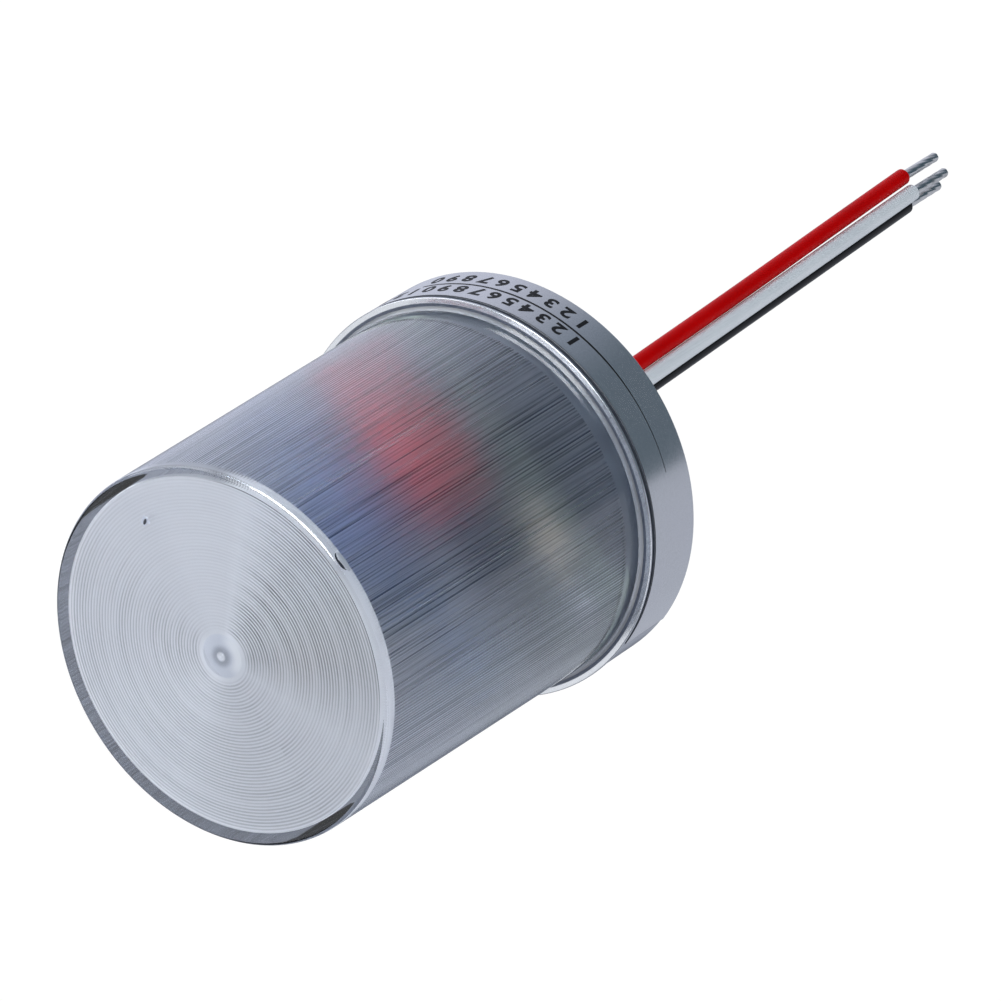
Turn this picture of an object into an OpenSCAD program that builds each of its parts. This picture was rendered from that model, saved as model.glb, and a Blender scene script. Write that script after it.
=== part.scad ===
// Light control switch: a clear cap on a round grey base, with its circuit
// inside and three leads leaving the rear.
// Origin: centre of the rear face. +Z runs along the axis towards the cap's end.

/* [Base] */
// Outside diameter of the base over its label
base_d = 48; // [47:0.5:50]
// Height of the base, rear face to front lip
base_h = 9.3; // [9:0.1:10]
// Thickness of the base's floor
floor_t = 2.4; // [2.2:0.1:2.8]
// Height of the front lip
lip_t = 0.3; // [0.25:0.05:0.5]
// Width of the groove between the front lip and the label
groove_w = 0.65; // [0.4:0.05:0.8]
// Depth of that groove, below the lip
groove_t = 0.55; // [0.3:0.05:0.7]

/* [Label] */
// Thickness of the wrap-around label
label_t = 0.15; // [0.1:0.05:0.2]
// Angle that the label covers, in degrees
label_sweep = 325; // [290:5:340]
// Angle at which the label starts
label_start = -163; // [-170:1:-150]

/* [Cap] */
// Outside diameter of the cap at the base
cap_d = 45.2; // [44.8:0.1:45.4]
// Outside diameter of the cap at its closed end
cap_tip_d = 44; // [43.5:0.1:44.6]
// Height of the cap's end above the rear face
cap_top = 57.8; // [55:0.2:61]
// Thickness of the cap's side wall
cap_wall = 1.3; // [1:0.05:1.6]
// Thickness of the cap's end wall
cap_end = 1.1; // [0.9:0.05:1.6]
// Radius of the cap's rounded rim
rim_r = 0.5; // [0.3:0.05:0.8]
// Radius of the dish in the middle of the end's inner face
dish_r = 2.65; // [1.5:0.05:3]
// Depth of that dish
dish_depth = 0.45; // [0.25:0.05:0.6]

/* [Circuit] */
// Thickness of the circuit board
board_t = 1.6; // [1.2:0.1:1.8]
// Height of the board's underside above the rear face
board_z = 9.4; // [9:0.1:10]
// Radius of the circuit board
board_r = 20.4; // [20:0.1:20.5]
// Turn of the circuit about the axis, in degrees
circuit_turn = 8; // [0:1:12]

/* [Leads] */
// Outside diameter of each lead's insulation
lead_d = 2.05; // [1.8:0.05:2.05]
// Diameter of each tinned end
tip_d = 1.2; // [1:0.1:1.4]
// Length of each tinned end
tip_len = 8; // [5:1:10]

/* [Hidden] */
$fn = 96;
eps = 0.01;
barrel_r = base_d / 2 - label_t;    // bare barrel under the label
bore_r = cap_d / 2 + 0.05;          // recess that takes the cap's skirt
cap_z0 = 3.2;                       // ledge that the foot of the cap stands on
groove_z = base_h - lip_t - groove_w;   // rear side of the groove behind the lip
edge_r = 0.12;                      // rounding of the lip's front edge
board_top = board_z + board_t;
front_edge = -10.2;                 // straight front edge of the board
back_edge = 15.8;                   // straight back edge of the board
lead_r = lead_d / 2;
boss_at = [[-16.2, -4.6], [-14.5, 8.5], [11.2, 13]];
pilot_r = 1.12;

// centres of the parts on the board, before the circuit's turn
cap_box = [1.2, -6.7, 17.2, 5.8, 9.8];        // red film capacitor: x, y, width, depth, height
relay_box = [-0.4, -0.2, 18, 10, 15.3];       // relay: x, y, width, depth, height
can_at = [-4.9, -1.2];
can_r = 3.85;
can_h = 11.9;
varistor_at = [-7.5, 6.8];
photocell_at = [-4.5, 11.8];
photocell_z = 30;
transistor_at = [-12, -0.8];
diode_at = [[2.9, -8.6], [12.6, -8.6], [-13.5, 3.2]];
resistor_at = [[-8.5, -8.7], [-9.5, -6.3]];

// holes for the component leads: x, y, radius of the lead
film_holes = [[2.3, -3.8, 0.35], [17.3, -3.8, 0.35]];
relay_holes = [[1.5, 1.2, 0.4], [1.5, 8.4, 0.4], [9, 4.8, 0.4], [15.8, 1.2, 0.4], [15.8, 8.4, 0.4]];
can_holes = [[can_at[0] - 1.75, can_at[1], 0.3], [can_at[0] + 1.75, can_at[1], 0.3]];
varistor_holes = [[varistor_at[0] - 2.5, varistor_at[1], 0.3], [varistor_at[0] + 2.5, varistor_at[1], 0.3]];
photocell_holes = [[photocell_at[0] - 1.3, photocell_at[1], 0.25], [photocell_at[0] + 1.3, photocell_at[1], 0.25]];
diode_holes = [for (p = diode_at, s = [-1, 1]) [p[0] + s * 4, p[1], 0.35]];
resistor_holes = [for (p = resistor_at, s = [-1, 1]) [p[0] + s * 3.9, p[1], 0.3]];
transistor_holes = [for (s = [-1, 0, 1]) [transistor_at[0] + s * 1.27, transistor_at[1], 0.25]];
all_holes = concat(film_holes, relay_holes, can_holes, varistor_holes, photocell_holes,
                   diode_holes, resistor_holes, transistor_holes);

// pads of the three leads under the board, in the part's frame
pad_red = [6.8, -2];
pad_white = [-0.2, -2.8];
pad_black = [-2.6, 4];
joint_h = 1.1;

// routes of the leads, from the board's pads down through the potting and out
route_red = [[6.8, -2, 8.3], [6.6, -1.9, 7.2], [5.2, -1.4, 5.8], [3.2, -0.8, 4.8], [2.2, -0.5, 3.8],
             [2.2, -0.5, 0], [2.38, -0.5, -6], [2.59, -0.5, -12], [2.8, -0.5, -18], [3.01, -0.5, -24],
             [3.22, -0.5, -30], [3.43, -0.5, -36], [3.64, -0.5, -42], [3.85, -0.5, -48],
             [4.06, -0.5, -54], [4.27, -0.5, -60], [4.48, -0.5, -66], [4.69, -0.5, -72],
             [4.9, -0.5, -78], [5.11, -0.5, -84], [5.3, -0.5, -90]];
route_white = [[-0.2, -2.8, 8.3], [-0.2, -2.6, 7.2], [-0.1, -1.6, 5.8], [0, -0.8, 4.8], [0.1, -0.5, 3.8],
               [0.1, -0.5, 0], [0.27, -0.5, -6], [0.46, -0.5, -12], [0.66, -0.5, -18], [0.86, -0.5, -24],
               [1.06, -0.5, -30], [1.26, -0.5, -36], [1.45, -0.5, -42], [1.65, -0.5, -48],
               [1.85, -0.5, -54], [2.05, -0.5, -60], [2.25, -0.5, -66], [2.44, -0.5, -72],
               [2.64, -0.5, -78], [2.84, -0.5, -84], [3.04, -0.5, -90]];
route_black = [[-2.6, 4, 8.3], [-2.5, 3.8, 7.2], [-1.7, 2.7, 5.8], [-1, 1.8, 4.8], [-0.75, 1.45, 3.8],
               [-0.75, 1.45, 0], [-0.58, 1.45, -6], [-0.39, 1.45, -12], [-0.2, 1.45, -18], [-0.01, 1.45, -24],
               [0.19, 1.45, -30], [0.38, 1.45, -36], [0.57, 1.45, -42], [0.77, 1.45, -48],
               [0.96, 1.45, -54], [1.15, 1.45, -60], [1.34, 1.45, -66], [1.54, 1.45, -72],
               [1.73, 1.45, -78], [1.92, 1.45, -84], [2.12, 1.45, -90]];

// a tube of eight sides swept along a list of points; its first and last rings lie flat
function unit(v) = v / norm(v);
function heading(p, i) =
    i == 0 || i == len(p) - 1 ? [0, 0, -1] : unit(unit(p[i + 1] - p[i]) + unit(p[i] - p[i - 1]));
function ring(c, t, r, n) =
    let (u = unit(cross([0, 1, 0], t)), v = cross(t, u))
    [for (k = [0 : n - 1]) c + r * cos(360 * k / n) * u + r * sin(360 * k / n) * v];
module tube(p, r, n = 8) {
    pts = [for (i = [0 : len(p) - 1]) each ring(p[i], heading(p, i), r, n)];
    last = (len(p) - 1) * n;
    sides = [for (i = [0 : len(p) - 2], k = [0 : n - 1])
        [i * n + k, (i + 1) * n + k, (i + 1) * n + (k + 1) % n, i * n + (k + 1) % n]];
    polyhedron(points = pts,
        faces = concat([[for (k = [0 : n - 1]) k]], sides, [[for (k = [n - 1 : -1 : 0]) last + k]]),
        convexity = 4);
}

// a box with upright rounded corners
module soft_box(w, d, h, r) {
    translate([r, 0, 0]) cube([w - 2 * r, d, h]);
    translate([0, r, 0]) cube([w, d - 2 * r, h]);
    for (x = [r, w - r], y = [r, d - r]) translate([x, y, 0]) cylinder(r = r, h = h, $fn = 32);
}

module at_turn() { rotate([0, 0, circuit_turn]) children(); }

module base_housing() {
    color([0.62, 0.64, 0.68]) difference() {
        union() {
            // barrel up to the groove, with a rounded rear edge
            translate([0, 0, 0.4]) cylinder(r = barrel_r, h = groove_z - 0.4);
            cylinder(r = barrel_r - 0.4, h = groove_z);
            rotate_extrude() translate([barrel_r - 0.4, 0.4]) circle(r = 0.4, $fn = 32);
            // bottom of the groove, then the front lip with its edge rounded
            translate([0, 0, groove_z - eps]) cylinder(r = base_d / 2 - groove_t, h = groove_w + 2 * eps);
            translate([0, 0, base_h - lip_t]) cylinder(r = base_d / 2, h = lip_t - edge_r);
            translate([0, 0, base_h - lip_t]) cylinder(r = base_d / 2 - edge_r, h = lip_t);
            rotate_extrude() translate([base_d / 2 - edge_r, base_h - edge_r]) circle(r = edge_r, $fn = 32);
        }
        // recess for the cap's skirt and the cavity under the board
        translate([0, 0, cap_z0]) cylinder(r = bore_r, h = base_h);
        translate([0, 0, floor_t]) cylinder(r = bore_r - 1.75, h = base_h);
        // lead hole, with a rear recess for the grommet's flange
        translate([0, 0, -1]) cylinder(r = 5, h = floor_t + 2);
        translate([0, 0, -1]) cylinder(r = 7.5, h = 2.2);
    }
    // bosses that carry the board, each with a blind pilot hole
    color([0.62, 0.64, 0.68]) at_turn() for (p = boss_at) translate([p[0], p[1], 0]) difference() {
        translate([0, 0, floor_t - 0.2]) cylinder(r = 2.5, h = board_z - floor_t + 0.2, $fn = 48);
        translate([0, 0, floor_t + 0.6]) cylinder(r = pilot_r, h = board_z, $fn = 32);
    }
}

module label_band() {
    color([0.72, 0.74, 0.78]) rotate([0, 0, label_start])
        rotate_extrude(angle = label_sweep) translate([barrel_r, 0.5]) square([label_t, groove_z - 0.55]);
}

module clear_cap() {
    z1 = cap_top - rim_r;
    r1 = cap_tip_d / 2;
    dish_R = (dish_r * dish_r + dish_depth * dish_depth) / (2 * dish_depth);
    color([0.75, 0.78, 0.85, 0.5]) difference() {
        union() {
            translate([0, 0, cap_z0]) cylinder(r = cap_d / 2, h = base_h - cap_z0 + eps);
            translate([0, 0, base_h]) cylinder(r1 = cap_d / 2, r2 = r1, h = z1 - base_h);
            translate([0, 0, z1 - eps]) cylinder(r = r1 - rim_r, h = rim_r + eps);
            rotate_extrude() translate([r1 - rim_r, z1]) intersection() {
                circle(r = rim_r, $fn = 64);
                translate([-rim_r, -eps]) square([2 * rim_r, rim_r + 1]);
            }
        }
        translate([0, 0, cap_z0 - 1])
            cylinder(r1 = cap_d / 2 - cap_wall, r2 = r1 - cap_wall, h = cap_top - cap_end - cap_z0 + 1);
        translate([0, 0, cap_top - cap_end + dish_depth - dish_R]) sphere(r = dish_R, $fn = 128);
    }
    // small pip in the middle of the dish
    color([0.75, 0.78, 0.85, 0.5]) translate([0, 0, cap_top - cap_end + dish_depth - 0.2]) cylinder(r = 0.42, h = 0.3, $fn = 32);
}

module seal_bead() {
    color([0.85, 0.87, 0.9]) rotate_extrude() translate([cap_d / 2, base_h])
        polygon([[0, 0], [0.4, 0], [0.34, 0.08], [0.08, 0.34], [0, 0.4]]);
}

module circuit_board() {
    color([0.82, 0.8, 0.58]) at_turn() difference() {
        intersection() {
            translate([0, 0, board_z]) cylinder(r = board_r, h = board_t);
            translate([-25, front_edge, board_z - 1]) cube([50, back_edge - front_edge, 5]);
        }
        for (p = boss_at) translate([p[0], p[1], board_z - 1]) cylinder(r = 1.3, h = 5, $fn = 32);
        for (h = all_holes) translate([h[0], h[1], board_z - 1]) cylinder(r = h[2] + 0.05, h = 5, $fn = 24);
    }
}

module board_screws() {
    color([0.75, 0.75, 0.77]) at_turn() for (p = boss_at) translate([p[0], p[1], board_top]) difference() {
        union() {
            cylinder(r = 2.1, h = 1, $fn = 48);
            translate([0, 0, 1 - eps]) cylinder(r1 = 2.1, r2 = 1.5, h = 0.5, $fn = 48);
            translate([0, 0, -6.5]) cylinder(r = 1.1, h = 6.6, $fn = 32);
            translate([0, 0, -7.3]) cylinder(r1 = 0.4, r2 = 1.1, h = 0.8 + eps, $fn = 32);
        }
        for (a = [0, 90]) rotate([0, 0, a]) translate([-1.25, -0.25, 0.7]) cube([2.5, 0.5, 2]);
    }
}

module lead_grommet() {
    color([0.12, 0.12, 0.13]) difference() {
        union() {
            translate([0, 0, 0.15]) cylinder(r = 7, h = 1.05);
            translate([0, 0, 1]) cylinder(r = 5, h = 1.6);
            translate([0, 0, floor_t]) cylinder(r = 6.4, h = 1.1);
        }
        translate([0, 0, -1]) cylinder(r = 4.2, h = 8);
    }
}

module lead_potting() {
    color([0.2, 0.2, 0.22]) difference() {
        translate([0, 0, 0.3]) cylinder(r = 4.2, h = 3);
        for (p = [route_red[5], route_white[5], route_black[5]])
            translate([p[0], p[1], -1]) cylinder(r = lead_r + 0.01, h = 6, $fn = 32);
    }
}

module relay() {
    b = relay_box;
    color([0.2, 0.32, 0.62]) at_turn() translate([b[0], b[1], board_top]) {
        difference() {
            soft_box(b[2], b[3], b[4] - 0.6, 0.6);
            for (x = [2.4, b[2] - 2.4]) translate([x, -1, -1]) cube([0.8, 2, 1.5]);
        }
        translate([0.6, 0.6, b[4] - 0.61]) cube([b[2] - 1.2, b[3] - 1.2, 0.61]);
    }
}

module pins(list, z0, z1) {
    at_turn() for (h = list) translate([h[0], h[1], z0]) cylinder(r = h[2], h = z1 - z0, $fn = 24);
}

module relay_pins() { color([0.8, 0.78, 0.72]) pins(relay_holes, board_z, board_top); }

module film_capacitor() {
    b = cap_box;
    color([0.72, 0.08, 0.09]) at_turn() translate([b[0], b[1], board_top]) {
        soft_box(b[2], b[3], b[4] - 0.5, 1.2);
        translate([0.5, 0.5, b[4] - 0.51]) soft_box(b[2] - 1, b[3] - 1, 0.51, 1);
    }
}

module film_capacitor_leads() { color([0.8, 0.78, 0.72]) pins(film_holes, board_z, board_top); }

module electrolytic_can() {
    color([0.8, 0.81, 0.83]) at_turn() translate([can_at[0], can_at[1], board_top]) difference() {
        cylinder(r = can_r, h = can_h, $fn = 64);
        // pressed cross in the top
        for (a = [0, 90]) rotate([0, 0, a]) translate([-2.4, -0.12, can_h - 0.15]) cube([4.8, 0.24, 1]);
        // rolled waist near the foot
        translate([0, 0, 1.9]) rotate_extrude($fn = 64) translate([can_r + 0.35, 0]) circle(r = 0.6, $fn = 32);
    }
}

module electrolytic_sleeve() {
    color([0.1, 0.1, 0.13]) at_turn() translate([can_at[0], can_at[1], board_top]) difference() {
        cylinder(r = can_r + 0.15, h = can_h + 0.15, $fn = 64);
        translate([0, 0, -1]) cylinder(r = can_r, h = can_h + 1, $fn = 64);
        cylinder(r = can_r - 0.6, h = can_h + 5, $fn = 64);
    }
}

module electrolytic_leads() { color([0.8, 0.78, 0.72]) pins(can_holes, board_z, board_top); }

// a disc on edge where the varistor stands
module varistor_disc(r, h) {
    at_turn() translate([varistor_at[0], varistor_at[1], board_top + 5.6])
        rotate([90, 0, 0]) cylinder(r = r, h = h, center = true, $fn = 64);
}

module varistor() {
    color([0.16, 0.3, 0.55]) {
        varistor_disc(3.9, 2.6);
        varistor_disc(3.4, 3.4);
    }
}

// the leads end where they meet the disc
module varistor_leads() {
    color([0.8, 0.78, 0.72]) difference() {
        pins(varistor_holes, board_z, board_top + 3);
        varistor_disc(3.9, 2.6);
    }
}

module photocell() {
    color([0.86, 0.78, 0.6]) at_turn() translate([photocell_at[0], photocell_at[1], photocell_z]) {
        cylinder(r = 3.5, h = 1.4, $fn = 64);
        translate([0, 0, 1.4 - eps]) cylinder(r = 3.1, h = 0.5, $fn = 64);
    }
}

module photocell_leads() { color([0.8, 0.78, 0.72]) pins(photocell_holes, board_z, photocell_z); }

module diodes() {
    color([0.13, 0.13, 0.14]) at_turn() for (p = diode_at) translate([p[0], p[1], board_top + 1.4])
        rotate([0, 90, 0]) cylinder(r = 1.35, h = 5.2, center = true, $fn = 48);
}

// formed lead: out of the body's end, then down through the board
module formed(p, reach, body_half, r, z) {
    for (s = [-1, 1]) {
        translate([p[0] + s * body_half, p[1], z]) rotate([0, 90 * s, 0]) cylinder(r = r, h = reach - body_half, $fn = 24);
        translate([p[0] + s * reach, p[1], z]) sphere(r = r, $fn = 24);
        translate([p[0] + s * reach, p[1], board_z]) cylinder(r = r, h = z - board_z, $fn = 24);
    }
}

module diode_leads() { color([0.8, 0.78, 0.72]) at_turn() for (p = diode_at) formed(p, 4, 2.6, 0.35, board_top + 1.4); }

module resistors() {
    color([0.85, 0.76, 0.6]) at_turn() for (p = resistor_at) translate([p[0], p[1], board_top + 1.15]) rotate([0, 90, 0]) {
        cylinder(r = 0.95, h = 6, center = true, $fn = 48);
        for (s = [-1, 1]) translate([0, 0, s * 2.2]) cylinder(r = 1.1, h = 1.6, center = true, $fn = 48);
    }
}

module resistor_leads() { color([0.8, 0.78, 0.72]) at_turn() for (p = resistor_at) formed(p, 3.9, 3, 0.3, board_top + 1.15); }

module transistor() {
    color([0.12, 0.12, 0.13]) at_turn() translate([transistor_at[0], transistor_at[1], board_top + 2]) difference() {
        cylinder(r = 2.35, h = 4.6, $fn = 48);
        translate([-3, -4.3, -1]) cube([6, 3, 7]);
    }
}

module transistor_leads() { color([0.8, 0.78, 0.72]) pins(transistor_holes, board_z, board_top + 2); }

module solder_joints() {
    color([0.78, 0.79, 0.8]) {
        at_turn() for (h = all_holes) translate([h[0], h[1], board_z - joint_h])
            cylinder(r1 = h[2], r2 = 2 * h[2] + 0.08, h = joint_h, $fn = 24);
        for (p = [pad_red, pad_white, pad_black]) translate([p[0], p[1], board_z - joint_h])
            cylinder(r1 = 0.95, r2 = 1.3, h = joint_h, $fn = 32);
    }
}

module lead_red() { color([0.74, 0.02, 0.02]) tube(route_red, lead_r); }
module lead_white() { color([0.9, 0.92, 0.94]) tube(route_white, lead_r); }
module lead_black() { color([0.06, 0.06, 0.07]) tube(route_black, lead_r); }

module tinned(p) {
    color([0.78, 0.78, 0.78]) translate([p[0], p[1], p[2] - tip_len]) cylinder(d = tip_d, h = tip_len, $fn = 32);
}
module tinned_end_red() { tinned(route_red[len(route_red) - 1]); }
module tinned_end_white() { tinned(route_white[len(route_white) - 1]); }
module tinned_end_black() { tinned(route_black[len(route_black) - 1]); }

base_housing();
label_band();
clear_cap();
seal_bead();
circuit_board();
board_screws();
lead_grommet();
lead_potting();
relay();
relay_pins();
film_capacitor();
film_capacitor_leads();
electrolytic_can();
electrolytic_sleeve();
electrolytic_leads();
varistor();
varistor_leads();
photocell();
photocell_leads();
diodes();
diode_leads();
resistors();
resistor_leads();
transistor();
transistor_leads();
solder_joints();
lead_red();
lead_white();
lead_black();
tinned_end_red();
tinned_end_white();
tinned_end_black();
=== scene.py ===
import bpy, bmesh, math, random
import numpy as np
from mathutils import Vector, Matrix


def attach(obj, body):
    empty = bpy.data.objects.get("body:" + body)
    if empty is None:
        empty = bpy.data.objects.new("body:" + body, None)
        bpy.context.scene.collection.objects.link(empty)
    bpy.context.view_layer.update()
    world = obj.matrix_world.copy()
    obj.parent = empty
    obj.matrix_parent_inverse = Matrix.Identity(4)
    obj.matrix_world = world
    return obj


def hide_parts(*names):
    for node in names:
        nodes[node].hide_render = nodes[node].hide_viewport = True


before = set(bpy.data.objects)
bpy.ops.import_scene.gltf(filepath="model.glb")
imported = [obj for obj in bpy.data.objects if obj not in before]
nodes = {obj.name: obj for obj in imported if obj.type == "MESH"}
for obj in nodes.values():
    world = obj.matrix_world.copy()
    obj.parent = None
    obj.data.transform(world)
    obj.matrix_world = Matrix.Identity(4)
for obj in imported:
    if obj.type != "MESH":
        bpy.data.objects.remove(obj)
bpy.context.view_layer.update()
scene = bpy.context.scene
MM = 0.001
random.seed(7)
rng = np.random.default_rng(7)

# ------------------------------------------------------------------ camera
cam_data = bpy.data.cameras.new("camera")
cam = bpy.data.objects.new("camera", cam_data)
scene.collection.objects.link(cam)
cam_data.sensor_width = 36.0
cam_data.lens = 253.371
cam_data.clip_start, cam_data.clip_end = 0.05, 50.0
cam_right = Vector((-0.53282911, -0.63775183, -0.55620656))
cam_up = Vector((0.84621956, -0.39972451, -0.35232482))
cam_fwd = Vector((-0.00236641, 0.65840179, -0.75266293))
pose = Matrix.Identity(4)
for i, v in enumerate((cam_right, cam_up, -cam_fwd)):
    for j in range(3):
        pose[j][i] = v[j]
pose.translation = Vector((0.0, -0.52410493, 0.60441213))
cam.matrix_world = pose
scene.camera = cam


# ------------------------------------------------------------------ node helpers
class Mat:
    """A material's node tree with short calls. A number or colour is set on the socket, and a socket is linked."""

    def __init__(self, name):
        self.m = bpy.data.materials.new(name)
        self.m.use_nodes = True
        self.t = self.m.node_tree
        self.t.nodes.clear()
        self.out = self.t.nodes.new("ShaderNodeOutputMaterial")

    def node(self, kind, **props):
        n = self.t.nodes.new("ShaderNode" + kind)
        for k, v in props.items():
            setattr(n, k, v)
        return n

    def put(self, socket, value):
        if isinstance(value, bpy.types.NodeSocket):
            self.t.links.new(value, socket)
        elif hasattr(value, "__len__") and len(value) == 3 and socket.type == "RGBA":
            socket.default_value = (*value, 1.0)
        else:
            socket.default_value = value

    def math(self, op, a, b=0.0, c=None, clamp=False):
        n = self.node("Math", operation=op, use_clamp=clamp)
        self.put(n.inputs[0], a)
        self.put(n.inputs[1], b)
        if c is not None:
            self.put(n.inputs[2], c)
        return n.outputs[0]

    def point(self):
        """(x, y, z) of the surface point in the object's own frame, in metres."""
        n = self.node("TexCoord")
        s = self.node("SeparateXYZ")
        self.put(s.inputs[0], n.outputs["Object"])
        return n.outputs["Object"], s.outputs[0], s.outputs[1], s.outputs[2]

    def polar(self, x, y):
        """(radius, angle in radians) about the axis."""
        r = self.math("SQRT", self.math("ADD", self.math("MULTIPLY", x, x), self.math("MULTIPLY", y, y)))
        return r, self.math("ARCTAN2", y, x)

    def vec(self, x, y, z):
        n = self.node("CombineXYZ")
        for i, v in enumerate((x, y, z)):
            self.put(n.inputs[i], v)
        return n.outputs[0]

    def noise(self, vector, scale, detail=2.0, rough=0.5, kind="FBM"):
        n = self.node("TexNoise", noise_dimensions="3D", noise_type=kind)
        self.put(n.inputs["Vector"], vector)
        self.put(n.inputs["Scale"], scale)
        self.put(n.inputs["Detail"], detail)
        self.put(n.inputs["Roughness"], rough)
        return n.outputs[0]

    def voronoi(self, vector, scale, feature="F1"):
        n = self.node("TexVoronoi", feature=feature)
        self.put(n.inputs["Vector"], vector)
        self.put(n.inputs["Scale"], scale)
        return n.outputs["Distance"]

    def wave(self, vector, scale, distortion=0.0, direction="Z", profile="SIN"):
        n = self.node("TexWave", wave_type="BANDS", bands_direction=direction, wave_profile=profile)
        self.put(n.inputs["Vector"], vector)
        self.put(n.inputs["Scale"], scale)
        self.put(n.inputs["Distortion"], distortion)
        return n.outputs["Fac"]

    def ramp(self, value, stops, kind="LINEAR"):
        """Maps a value through (position, value or colour) stops."""
        n = self.node("ValToRGB")
        n.color_ramp.interpolation = kind
        e = n.color_ramp.elements
        while len(e) > 1:
            e.remove(e[-1])
        for i, (p, c) in enumerate(stops):
            c = (c, c, c, 1.0) if not hasattr(c, "__len__") else (*c, 1.0)
            if i == 0:
                e[0].position, e[0].color = p, c
            else:
                k = e.new(p)
                k.color = c
        self.put(n.inputs[0], value)
        return n.outputs[0]

    def span(self, value, a, b, lo=0.0, hi=1.0, smooth=True):
        n = self.node("MapRange", interpolation_type="SMOOTHSTEP" if smooth else "LINEAR")
        for i, v in enumerate((value, a, b, lo, hi)):
            self.put(n.inputs[i], v)
        return n.outputs[0]

    def mix(self, fac, a, b, kind="MIX"):
        n = self.node("Mix", data_type="RGBA", blend_type=kind)
        self.put(n.inputs[0], fac)
        self.put(n.inputs[6], a)
        self.put(n.inputs[7], b)
        return n.outputs[2]

    def bump(self, height, distance, strength=1.0, normal=None):
        n = self.node("Bump")
        self.put(n.inputs["Strength"], strength)
        self.put(n.inputs["Distance"], distance)
        self.put(n.inputs["Height"], height)
        if normal is not None:
            self.put(n.inputs["Normal"], normal)
        return n.outputs[0]

    def principled(self, **sockets):
        n = self.node("BsdfPrincipled")
        for k, v in sockets.items():
            self.put(n.inputs[k.replace("_", " ")], v)
        return n.outputs[0]

    def surface(self, shader):
        self.put(self.out.inputs["Surface"], shader)
        return self.m

    def lamp_through(self, shader, tint):
        """Lets lamp rays pass, tinted, so that what is inside is lit."""
        path = self.node("LightPath")
        clear = self.node("BsdfTransparent")
        self.put(clear.inputs[0], tint)
        mixer = self.node("MixShader")
        self.put(mixer.inputs[0], path.outputs["Is Shadow Ray"])
        self.put(mixer.inputs[1], shader)
        self.put(mixer.inputs[2], clear.outputs[0])
        return self.surface(mixer.outputs[0])


def moulded(name, colour, rough=0.4, grain=2500.0, depth=0.00001, var=0.06, coat=0.0, spec=0.5):
    """Plain moulded plastic: fine grain, cloudy colour and roughness, and light scuffs."""
    m = Mat(name)
    p, x, y, z = m.point()
    cloud = m.noise(p, 90.0, 4.0)
    fine = m.noise(p, grain, 3.0, 0.6)
    base = m.mix(m.span(cloud, 0.3, 0.7), tuple(c * (1 - var) for c in colour), tuple(min(1.0, c * (1 + var)) for c in colour))
    r = m.math("ADD", m.span(cloud, 0.3, 0.7, rough - 0.05, rough + 0.05), m.span(fine, 0.3, 0.7, -0.04, 0.04))
    return m.surface(m.principled(Base_Color=base, Roughness=r, Coat_Weight=coat, Coat_Roughness=0.1,
                                  Specular_IOR_Level=spec, Normal=m.bump(fine, depth)))


def metal(name, colour, rough=0.28, along="z", scale=1.0):
    """Drawn or plated metal with fine lines along its length and small dull spots."""
    m = Mat(name)
    p, x, y, z = m.point()
    v = {"z": m.vec(m.math("MULTIPLY", x, 9000.0), m.math("MULTIPLY", y, 9000.0), m.math("MULTIPLY", z, 600.0)),
         "x": m.vec(m.math("MULTIPLY", x, 600.0), m.math("MULTIPLY", y, 9000.0), m.math("MULTIPLY", z, 9000.0))}[along]
    lines = m.noise(v, 1.0 * scale, 3.0, 0.6)
    spots = m.noise(p, 700.0, 3.0)
    base = m.mix(m.span(spots, 0.45, 0.7), colour, tuple(c * 0.78 for c in colour))
    r = m.math("ADD", m.span(spots, 0.35, 0.7, rough - 0.06, rough + 0.12), m.span(lines, 0.3, 0.7, -0.05, 0.05))
    return m.surface(m.principled(Base_Color=base, Metallic=1.0, Roughness=r, Normal=m.bump(lines, 0.000006)))


def new_mesh(name, verts, faces, mats, index=None, smooth=True):
    me = bpy.data.meshes.new(name)
    me.from_pydata([tuple(v) for v in verts], [], faces)
    for m in mats:
        me.materials.append(m)
    if index is not None:
        me.polygons.foreach_set("material_index", np.asarray(index, np.int32))
    me.polygons.foreach_set("use_smooth", np.full(len(me.polygons), smooth))
    me.update()
    o = bpy.data.objects.new(name, me)
    scene.collection.objects.link(o)
    return o


# ------------------------------------------------------------------ leads
def lead_insulation(name, colour, dark, rough, gloss=0.45, coat=0.2):
    """Extruded insulation: glossy, with faint drawn lines along it and slow changes of tone."""
    m = Mat(name)
    p, x, y, z = m.point()
    drawn = m.noise(m.vec(m.math("MULTIPLY", x, 5200.0), m.math("MULTIPLY", y, 5200.0), m.math("MULTIPLY", z, 160.0)), 1.0, 3.0, 0.6)
    slow = m.noise(m.vec(x, y, m.math("MULTIPLY", z, 0.6)), 160.0, 3.0)
    base = m.mix(m.span(slow, 0.3, 0.72), colour, dark)
    r = m.span(drawn, 0.3, 0.7, rough - 0.05, rough + 0.07)
    return m.surface(m.principled(Base_Color=base, Roughness=r, Coat_Weight=coat, Coat_Roughness=0.12,
                                  Specular_IOR_Level=gloss, Normal=m.bump(drawn, 0.000008)))


red_mat = lead_insulation("insulation_red", (0.66, 0.0007, 0.0009), (0.57, 0.0005, 0.0007), 0.34, 0.05, 0.0)
white_mat = lead_insulation("insulation_white", (0.88, 0.915, 0.94), (0.82, 0.86, 0.89), 0.26)
black_mat = lead_insulation("insulation_black", (0.008, 0.008, 0.009), (0.005, 0.005, 0.006), 0.30, 0.15, 0.0)
tinned_mat = metal("tinned_wire", (0.74, 0.73, 0.71), 0.26)

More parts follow.
